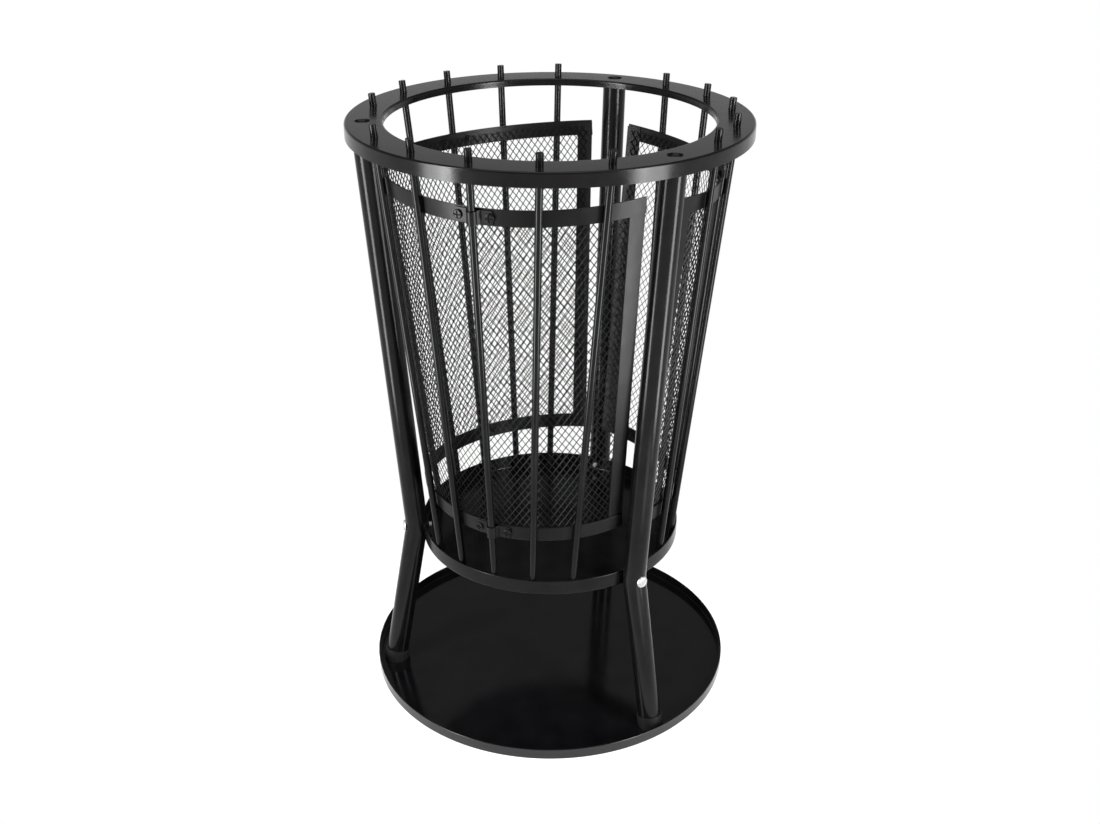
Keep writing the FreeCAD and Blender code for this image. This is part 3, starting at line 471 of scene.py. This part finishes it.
for azimuth in basket["legAzimuths"]:
    turn = azimuth - basket["kinkTurn"]
    outward = azimuthVector(turn)
    boltEnd = polar(bolt["end"], turn, basket["kinkHeight"])
    nutEnd = polar(bolt["end"] + bolt["tail"], turn, basket["kinkHeight"])
    addForm(boltsForm, boltForm, pointing(boltEnd, outward))
    addForm(nutsForm, nut, pointing(nutEnd, outward))
boltForm.free()
nut.free()
newPiece("panBolts", boltsForm, zincSteel, "pan_bolts")
# the nuts are zinc like the bolts; the dark finish on them is painted shade
newPiece("panNuts", nutsForm, darkSteelAndShade, "pan_nuts")

# countersunk screws in the ring, with a hexagon socket
ringScrew = {"radius": 0.003, "head": 0.00625, "headEdge": 0.0003, "top": 0.69755, "length": 0.022,
             "socket": 0.004, "depth": 0.002, "steps": 40, "sharp": 30}
headDrop = ringScrew["head"] - ringScrew["radius"]
screwForm = spunForm([
    (0, 0, 0, 1), (ringScrew["radius"], 0, 0, 1), (ringScrew["radius"], ringScrew["length"] - headDrop, 0, 1),
    (ringScrew["head"], ringScrew["length"], ringScrew["headEdge"], 2), (0, ringScrew["length"], 0, 1),
], ringScrew["steps"])
socket = bmesh.new()
socketRadius = ringScrew["socket"] / math.sqrt(3)
bmesh.ops.create_cone(socket, cap_ends=True, segments=6, radius1=socketRadius, radius2=socketRadius,
                      depth=2 * ringScrew["depth"])
bmesh.ops.translate(socket, verts=socket.verts, vec=up * ringScrew["length"])
screwForm = combined(screwForm, socket, "DIFFERENCE")
screwsForm = bmesh.new()
for azimuth in basket["legAzimuths"]:
    place = polar(basket["pitchRadius"], azimuth, ringScrew["top"] - ringScrew["length"])
    addForm(screwsForm, screwForm, Matrix.Translation(place))
screwForm.free()
newPiece("ringScrews", screwsForm, darkSteelAndShade, "ring_screws", ringScrew["sharp"])
print("screws made")

# mesh panels on the cone just inside the bars, made about azimuth 0
panel = {"top": 0.645, "bottom": 0.246, "lift": 0.0075, "halfTop": 52.85, "halfLow": 55.5, "strip": 0.018,
         "inset": 0.002, "gap": 0.0006, "sheet": 0.0015, "steps": 72, "rows": 6, "edge": 0.0003}
slope = (basket["pitchRadius"] - bars["lowRadius"]) / (basket["ringTop"] - basket["panRim"])
lean = math.atan(slope)


def faceRadius(height):  # the panel's outer face, a gap inside the bars
    axis = bars["lowRadius"] + slope * (height - basket["panRim"])
    return axis - basket["barRadius"] / math.cos(lean) - panel["gap"]


coneStart = faceRadius(panel["bottom"]) / math.sin(lean)
panelRise = (panel["top"] - panel["bottom"]) / math.cos(lean)


def wrapped(point):  # from the flat pattern (x across, y up, z outward) to the cone
    reach = math.hypot(point.x, coneStart + point.y)
    azimuth = math.atan2(point.x, coneStart + point.y) / math.sin(lean)
    radius = reach * math.sin(lean) + point.z * math.cos(lean)
    height = panel["bottom"] + (reach - coneStart) * math.cos(lean) - point.z * math.sin(lean)
    return Vector((radius * math.cos(azimuth), radius * math.sin(azimuth), height))


def flatPlace(degrees, along):  # where an azimuth crosses a straight line of the flat pattern
    return Vector(((coneStart + along) * math.tan(math.radians(degrees) * math.sin(lean)), along, 0))


def wrapForm(form):
    for vert in form.verts:
        vert.co = wrapped(vert.co)


def softEdges(form, offset, sharpAngle=1):  # rounds every edge that turns by more than the angle, in radians
    sharp = [edge for edge in form.edges if len(edge.link_faces) == 2 and edge.calc_face_angle() > sharpAngle]
    bmesh.ops.bevel(form, geom=sharp, offset=offset, segments=2, profile=0.5, affect="EDGES", material=-1)


def stripForm(start, end, inward):  # a straight strip of the flat pattern, bent onto the cone
    run = end - start
    form = bmesh.new()
    bmesh.ops.create_grid(form, x_segments=panel["steps"], y_segments=panel["rows"], size=0.5)
    bmesh.ops.scale(form, verts=form.verts, vec=(run.length, panel["strip"], 1))
    bmesh.ops.rotate(form, verts=form.verts, matrix=Matrix.Rotation(math.atan2(run.y, run.x), 3, "Z"))
    bmesh.ops.translate(form, verts=form.verts, vec=(start + end) / 2 - up * inward)
    drawn = bmesh.ops.extrude_face_region(form, geom=form.faces[:], use_keep_orig=True)["geom"]
    bmesh.ops.translate(form, verts=newVerts(drawn), vec=up * -panel["sheet"])
    closeForm(form)
    softEdges(form, panel["edge"])
    wrapForm(form)
    bmesh.ops.recalc_face_normals(form, faces=form.faces)
    return form


def crossForm(along, halfDegrees):  # a strip across the panel's top or bottom
    return stripForm(flatPlace(-halfDegrees, along), flatPlace(halfDegrees, along), 0)


def edgePlace(along, inset):  # a place at an inset from the panel's straight side
    share = along / panelRise
    half = panel["halfLow"] + (panel["halfTop"] - panel["halfLow"]) * share
    return flatPlace(half, along) - Vector((inset, 0, 0))


def sideForm(side):
    low = edgePlace(panel["inset"], panel["strip"] / 2)
    high = edgePlace(panelRise - panel["inset"], panel["strip"] / 2)
    flip = Vector((side, 1, 1))
    return stripForm(low * flip, high * flip, panel["sheet"])


# expanded metal: zigzag strands, two of them repeated across the flat pattern
weave = {"wide": 0.0081, "tall": 0.011, "strand": 0.0012, "sheet": 0.0005, "tilt": 35, "depth": 0.0039,
         "lap": 0.0115, "spareRows": 4, "spareStrands": 1}


def strandForm(side, rows):
    form = bmesh.new()
    bmesh.ops.create_grid(form, x_segments=1, y_segments=1, size=0.5)
    bmesh.ops.scale(form, verts=form.verts, vec=(weave["strand"], weave["sheet"], 1))
    bmesh.ops.rotate(form, verts=form.verts, matrix=Matrix.Rotation(math.radians(weave["tilt"]), 3, "Z"))
    bmesh.ops.rotate(form, verts=form.verts, matrix=Matrix.Rotation(math.radians(90), 3, "X"))
    bmesh.ops.translate(form, verts=form.verts, vec=(-side * weave["wide"] / 4, 0, 0))
    edges = form.edges[:]
    for row in range(rows):
        turn = side if row % 2 == 0 else -side
        drawOn(form, edges, Vector((turn * weave["wide"] / 2, weave["tall"] / 2, 0)))
        edges = farEdges(form, Vector((0, (row + 1) * weave["tall"] / 2, 0)), Vector((0, 1, 0)))
    bmesh.ops.holes_fill(form, edges=edges, sides=0)
    bmesh.ops.recalc_face_normals(form, faces=form.faces)
    return form


def meshForm():
    form = bmesh.new()
    inset = panel["strip"] - weave["lap"]
    rows = int((panelRise - 2 * inset) / weave["tall"] * 2) + weave["spareRows"]
    count = int(edgePlace(panelRise, 0).x / (weave["wide"] / 2)) + weave["spareStrands"]
    strands = [strandForm(1, rows), strandForm(-1, rows)]
    for number in range(-count, count + 1):
        place = Vector((number * weave["wide"] / 2, inset - weave["tall"], -weave["depth"]))
        addForm(form, strands[number % 2], Matrix.Translation(place))
    for strand in strands:
        strand.free()
    low, high = edgePlace(0, inset), edgePlace(panelRise, inset)
    run = high - low
    trims = [(low * Vector((side, 1, 1)), Vector((side * run.y, -run.x, 0))) for side in (1, -1)]
    trims += [(Vector((0, inset, 0)), Vector((0, -1, 0))),
              (Vector((0, panelRise - inset, 0)), Vector((0, 1, 0)))]
    for place, normal in trims:
        bmesh.ops.bisect_plane(form, geom=allParts(form), plane_co=place, plane_no=normal, clear_outer=True)
        bmesh.ops.holes_fill(form, edges=form.edges, sides=0)
    bmesh.ops.recalc_face_normals(form, faces=form.faces)
    wrapForm(form)
    return form


# saddle clips over the middle bars, in the bar's own frame: x along the strip, y outward, z along the bar
clip = {"width": 0.015, "sheet": 0.0015, "flare": 0.0025, "halfSpan": 0.0205, "screwOffset": 0.017,
        "fit": 0.0001, "edge": 0.0004, "footRound": 0.001, "saddleShare": 0.98, "bendSteps": 8,
        "endRound": 0.0008, "endSteps": 3, "endReach": 0.0005}
clipScrew = {"radius": 0.002, "length": 0.009, "tip": 0.0004, "head": 0.005, "headHeight": 0.0016,
             "headEdge": 0.0002, "headRound": 0.001, "headSteps": 5, "steps": 32, "sharp": 30,
             "slot": 0.008, "slotWide": 0.0018, "slotDeep": 0.001, "nut": 0.007, "nutHeight": 0.003,
             "paintedShadeReach": 0.49, "paintedShadeFrom": 1.1, "paintedShadeTo": 0.1}  # the part with painted shade, as shares of the slot


def clipFrame(along):  # the clip's frame, and the bow of the panel's face and of the bar's axis there
    face = wrapped(Vector((0, along, 0)))
    line = barLine(0, 0)
    origin = atHeight(line, face.z - math.sin(lean) * basket["barRadius"])
    direction = line[1]
    radial = Vector((origin.x, origin.y, 0)).normalized()
    outward = (radial - direction * radial.dot(direction)).normalized()
    across = outward.cross(direction)
    place = Matrix((across, outward, direction)).transposed().to_4x4()
    place.translation = origin
    bow = math.hypot(origin.x, origin.y) / math.cos(lean)
    return place, math.hypot(face.x, face.y) / math.cos(lean), bow


def clipForm(faceBow, bow):
    def earHeight(x):
        return math.sqrt((faceBow + clip["fit"]) ** 2 - x * x) - bow

    saddle = basket["barRadius"] + clip["fit"]
    foot = saddle + clip["flare"]
    half = [(clip["halfSpan"], earHeight(clip["halfSpan"]), 0), (foot, earHeight(foot), clip["footRound"]),
            (saddle, 0, 0), (saddle, saddle, saddle * clip["saddleShare"])]
    corners = half + [(-x, y, rounding) for x, y, rounding in reversed(half)]
    form = bmesh.new()
    verts = [form.verts.new((x, y, -clip["width"] / 2)) for x, y, _ in corners]
    for pair in zip(verts, verts[1:]):
        form.edges.new(pair)
    for vert, (_, _, rounding) in zip(verts, corners):
        if rounding:
            bmesh.ops.bevel(form, geom=[vert], offset=rounding, segments=clip["bendSteps"], profile=0.5,
                            affect="VERTICES", material=-1)
    drawOn(form, form.edges[:], up * clip["width"])
    bmesh.ops.recalc_face_normals(form, faces=form.faces)
    bmesh.ops.solidify(form, geom=form.faces[:], thickness=clip["sheet"])
    closeForm(form)
    ends = [edge for edge in form.edges
            if all(abs(abs(vert.co.x) - clip["halfSpan"]) < clip["endReach"] for vert in edge.verts)
            and abs(edge.verts[0].co.z - edge.verts[1].co.z) < nearly]
    bmesh.ops.bevel(form, geom=ends, offset=clip["endRound"], segments=clip["endSteps"], profile=0.5,
                    affect="EDGES", material=-1)
    softEdges(form, clip["edge"])
    return form


headTop = clipScrew["length"] + clipScrew["headHeight"]
deep = clipScrew["slotDeep"]
screwForm = spunForm([
    (0, 0, 0, 1), (clipScrew["radius"], 0, clipScrew["tip"], 2),
    (clipScrew["radius"], clipScrew["length"], 0, 1),
    (clipScrew["head"], clipScrew["length"], clipScrew["headEdge"], 2),
    (clipScrew["head"], headTop, clipScrew["headRound"], clipScrew["headSteps"]), (0, headTop, 0, 1),
], clipScrew["steps"])
for turn in (0, 90):
    slot = bmesh.new()
    bmesh.ops.create_cube(slot, size=1)
    bmesh.ops.scale(slot, verts=slot.verts, vec=(clipScrew["slot"], clipScrew["slotWide"], 2 * deep))
    bmesh.ops.rotate(slot, verts=slot.verts, matrix=Matrix.Rotation(math.radians(turn), 3, "Z"))
    bmesh.ops.translate(slot, verts=slot.verts, vec=up * headTop)
    screwForm = combined(screwForm, slot, "DIFFERENCE")
for face in screwForm.faces:  # the cross recess gets the second, duller finish as painted shade
    centre = face.calc_center_median()
    inRecess = headTop - clipScrew["paintedShadeFrom"] * deep < centre.z < headTop - clipScrew["paintedShadeTo"] * deep
    if inRecess and centre.xy.length < clipScrew["paintedShadeReach"] * clipScrew["slot"]:
        face.material_index = 1
nut = nutForm(clipScrew["nut"], clipScrew["nutHeight"], clipScrew["radius"])

clipAlong = {"top": panelRise - panel["strip"] / 2, "bottom": panel["strip"] / 2}
forms = {
    "left_strip": sideForm(-1),
    "right_strip": sideForm(1),
    "mesh": meshForm(),
    "top_strip": crossForm(clipAlong["top"], panel["halfTop"]),
    "bottom_strip": crossForm(clipAlong["bottom"], panel["halfLow"]),
}
panelPlaces = []  # the front panel sits higher along its middle bar, the other two lower
for azimuth in basket["panelAzimuths"]:
    lift = barLine(0, 0)[1] * (panel["lift"] * math.sin(math.radians(-azimuth)))
    panelPlaces.append(turnedTo(azimuth) @ Matrix.Translation(lift))
clipScrewsForm = bmesh.new()
clipNutsForm = bmesh.new()
for end, along in clipAlong.items():
    place, faceBow, bow = clipFrame(along)
    form = clipForm(faceBow, bow)
    bmesh.ops.transform(form, verts=form.verts, matrix=place)
    forms[f"{end}_clip"] = form
    for side in (1, -1):
        angle = side * clip["screwOffset"] / faceBow
        direction = Vector((math.sin(angle), math.cos(angle), 0))
        centre = Vector((0, -bow, 0))
        seat = faceBow + 2 * clip["fit"] + clip["sheet"]
        screwPlace = place @ pointing(centre + direction * (seat - clipScrew["length"]), direction)
        nutSeat = faceBow - panel["sheet"] - clip["fit"] - clipScrew["nutHeight"]
        nutPlace = place @ pointing(centre + direction * nutSeat, direction)
        for panelPlace in panelPlaces:
            addForm(clipScrewsForm, screwForm, panelPlace @ screwPlace)
            addForm(clipNutsForm, nut, panelPlace @ nutPlace)
screwForm.free()
nut.free()
for name, master in forms.items():
    solid = name != "mesh"
    for number, panelPlace in enumerate(panelPlaces, start=1):
        form = bmesh.new()
        addForm(form, master, panelPlace)
        newPiece(f"panel{number}{name}", form, panelCoat if solid else meshCoat, f"panel_{number}_{name}",
                 weighted=solid)
    master.free()
clipScrews = newPiece("clipScrews", clipScrewsForm, panelCoat, "clip_screws",
                      clipScrew["sharp"])
# the second finish is painted shade in the cross recess
clipScrews.data.materials.append(darkSteelAndShade)
newPiece("clipNuts", clipNutsForm, darkSteelAndShade, "clip_nuts")
print("panels made")

# plugs in the legs and screws under the tray keep their CAD shape
for node in ("leg_top_plugs", "leg_foot_plugs", "foot_screws"):
    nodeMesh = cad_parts[node].data
    nodeMesh.materials.clear()
    nodeMesh.materials.append(zincSteel)

# floor, light and camera
studio = {"floor": 6, "floorTone": (0.95, 0.95, 0.95), "fadeStart": 0.2, "fadeEnd": 0.45, "fadeLow": 0.4,
          "worldLevel": 0.4, "glossLow": 1, "glossHigh": 0.2, "glossRise": 0.4}
lamps = {  # places are radius, azimuth and height, and aim is a height on the axis
    "leftStrip": {"place": (1.7, -121, 0.9), "aim": 0.6, "size": (0.2, 1.7), "power": 30},
    "rightStrip": {"place": (1.7, -21, 0.9), "aim": 0.6, "size": (0.2, 1.7), "power": 30},
    "leftNear": {"place": (0.72, -121, 0.6), "aim": 0.6, "size": (0.18, 1.1), "power": 12},
    "rightNear": {"place": (0.72, -18, 0.6), "aim": 0.6, "size": (0.18, 1.1), "power": 12},
    "lowFront": {"place": (0.55, -41, 0.07), "aim": 0.07, "size": (0.18, 0.13), "power": 0.18},
    "topSoft": {"place": (0, 0, 2.4), "aim": 0.3, "size": (1.6, 1.6), "power": 14},
}


def mathNode(tree, operation, first, second):
    node = addNode(tree, "ShaderNodeMath", operation=operation)
    tree.links.new(first, node.inputs[0])
    tree.links.new(second, node.inputs[1])
    return node.outputs["Value"]


def mirrorRays(tree, path):  # rays that come by way of metal or glass
    return mathNode(tree, "MAXIMUM", path.outputs["Is Glossy Ray"], path.outputs["Is Transmission Ray"])


floorForm = bmesh.new()
bmesh.ops.create_grid(floorForm, x_segments=1, y_segments=1, size=studio["floor"])
floorMesh = bpy.data.meshes.new("floor")
floorForm.to_mesh(floorMesh)
floorForm.free()
floor = bpy.data.objects.new("floor", floorMesh)
scene.collection.objects.link(floor)
floorMaterial = bpy.data.materials.new("floor")
floorMaterial.use_nodes = True
tree = floorMaterial.node_tree
shader = tree.nodes["Principled BSDF"]
shader.inputs["Roughness"].default_value = 1
shader.inputs["Specular IOR Level"].default_value = 0
shader.inputs["Base Color"].default_value = studio["floorTone"] + (1,)
path = addNode(tree, "ShaderNodeLightPath")
looked = mathNode(tree, "MAXIMUM", path.outputs["Is Camera Ray"], mirrorRays(tree, path))
coords = addNode(tree, "ShaderNodeTexCoord")  # away from the object the floor fades to white
distance = addNode(tree, "ShaderNodeVectorMath", operation="LENGTH")
tree.links.new(coords.outputs["Object"], distance.inputs[0])
fade = addNode(tree, "ShaderNodeMapRange", interpolation_type="SMOOTHSTEP")
fade.inputs["From Min"].default_value = studio["fadeStart"]
fade.inputs["From Max"].default_value = studio["fadeEnd"]
fade.inputs["To Min"].default_value = studio["fadeLow"]
tree.links.new(distance.outputs["Value"], fade.inputs["Value"])
faded = mathNode(tree, "MULTIPLY", fade.outputs["Result"], looked)
white = addNode(tree, "ShaderNodeEmission")
blend = addNode(tree, "ShaderNodeMixShader")
tree.links.new(faded, blend.inputs["Fac"])
tree.links.new(shader.outputs["BSDF"], blend.inputs[1])
tree.links.new(white.outputs["Emission"], blend.inputs[2])
tree.links.new(blend.outputs["Shader"], tree.nodes["Material Output"].inputs["Surface"])
floorMesh.materials.append(floorMaterial)

world = bpy.data.worlds.new("studio")
scene.world = world
world.use_nodes = True
tree = world.node_tree
background = tree.nodes["Background"]
background.inputs["Color"].default_value = (1, 1, 1, 1)
path = addNode(tree, "ShaderNodeLightPath")
gloss = addNode(tree, "ShaderNodeMix", data_type="FLOAT")
gloss.inputs["A"].default_value = studio["worldLevel"]
skyCoords = addNode(tree, "ShaderNodeTexCoord")  # reflections see white at the horizon, a dimmer room above
skySplit = addNode(tree, "ShaderNodeSeparateXYZ")
tree.links.new(skyCoords.outputs["Generated"], skySplit.inputs["Vector"])
skyTone = addNode(tree, "ShaderNodeMapRange", interpolation_type="SMOOTHSTEP")
skyTone.inputs["From Max"].default_value = studio["glossRise"]
skyTone.inputs["To Min"].default_value = studio["glossLow"]
skyTone.inputs["To Max"].default_value = studio["glossHigh"]
tree.links.new(skySplit.outputs["Z"], skyTone.inputs["Value"])
tree.links.new(skyTone.outputs["Result"], gloss.inputs["B"])
tree.links.new(mirrorRays(tree, path), gloss.inputs["Factor"])
level = addNode(tree, "ShaderNodeMix", data_type="FLOAT")
level.inputs["B"].default_value = 1
tree.links.new(gloss.outputs["Result"], level.inputs["A"])
tree.links.new(path.outputs["Is Camera Ray"], level.inputs["Factor"])
tree.links.new(level.outputs["Result"], background.inputs["Strength"])

for name, lamp in lamps.items():
    light = bpy.data.lights.new(name, "AREA")
    light.shape = "RECTANGLE"
    light.size, light.size_y = lamp["size"]
    light.energy = lamp["power"]
    holder = bpy.data.objects.new(name, light)
    holder.location = polar(*lamp["place"])
    holder.rotation_euler = (up * lamp["aim"] - holder.location).to_track_quat("-Z", "Y").to_euler()
    holder.visible_camera = False
    scene.collection.objects.link(holder)

view = {"place": (0.5546, -1.3181, 1.04775), "pitch": 63.724, "turn": 22.82, "lens": 43.445, "sensor": 36}
camera = bpy.data.cameras.new("camera")
camera.sensor_fit = "HORIZONTAL"
camera.sensor_width = view["sensor"]
camera.lens = view["lens"]
cameraHolder = bpy.data.objects.new("camera", camera)
cameraHolder.location = view["place"]
cameraHolder.rotation_euler = (math.radians(view["pitch"]), 0, math.radians(view["turn"]))
scene.collection.objects.link(cameraHolder)
scene.camera = cameraHolder
scene.view_settings.view_transform = "Standard"
print("studio made")
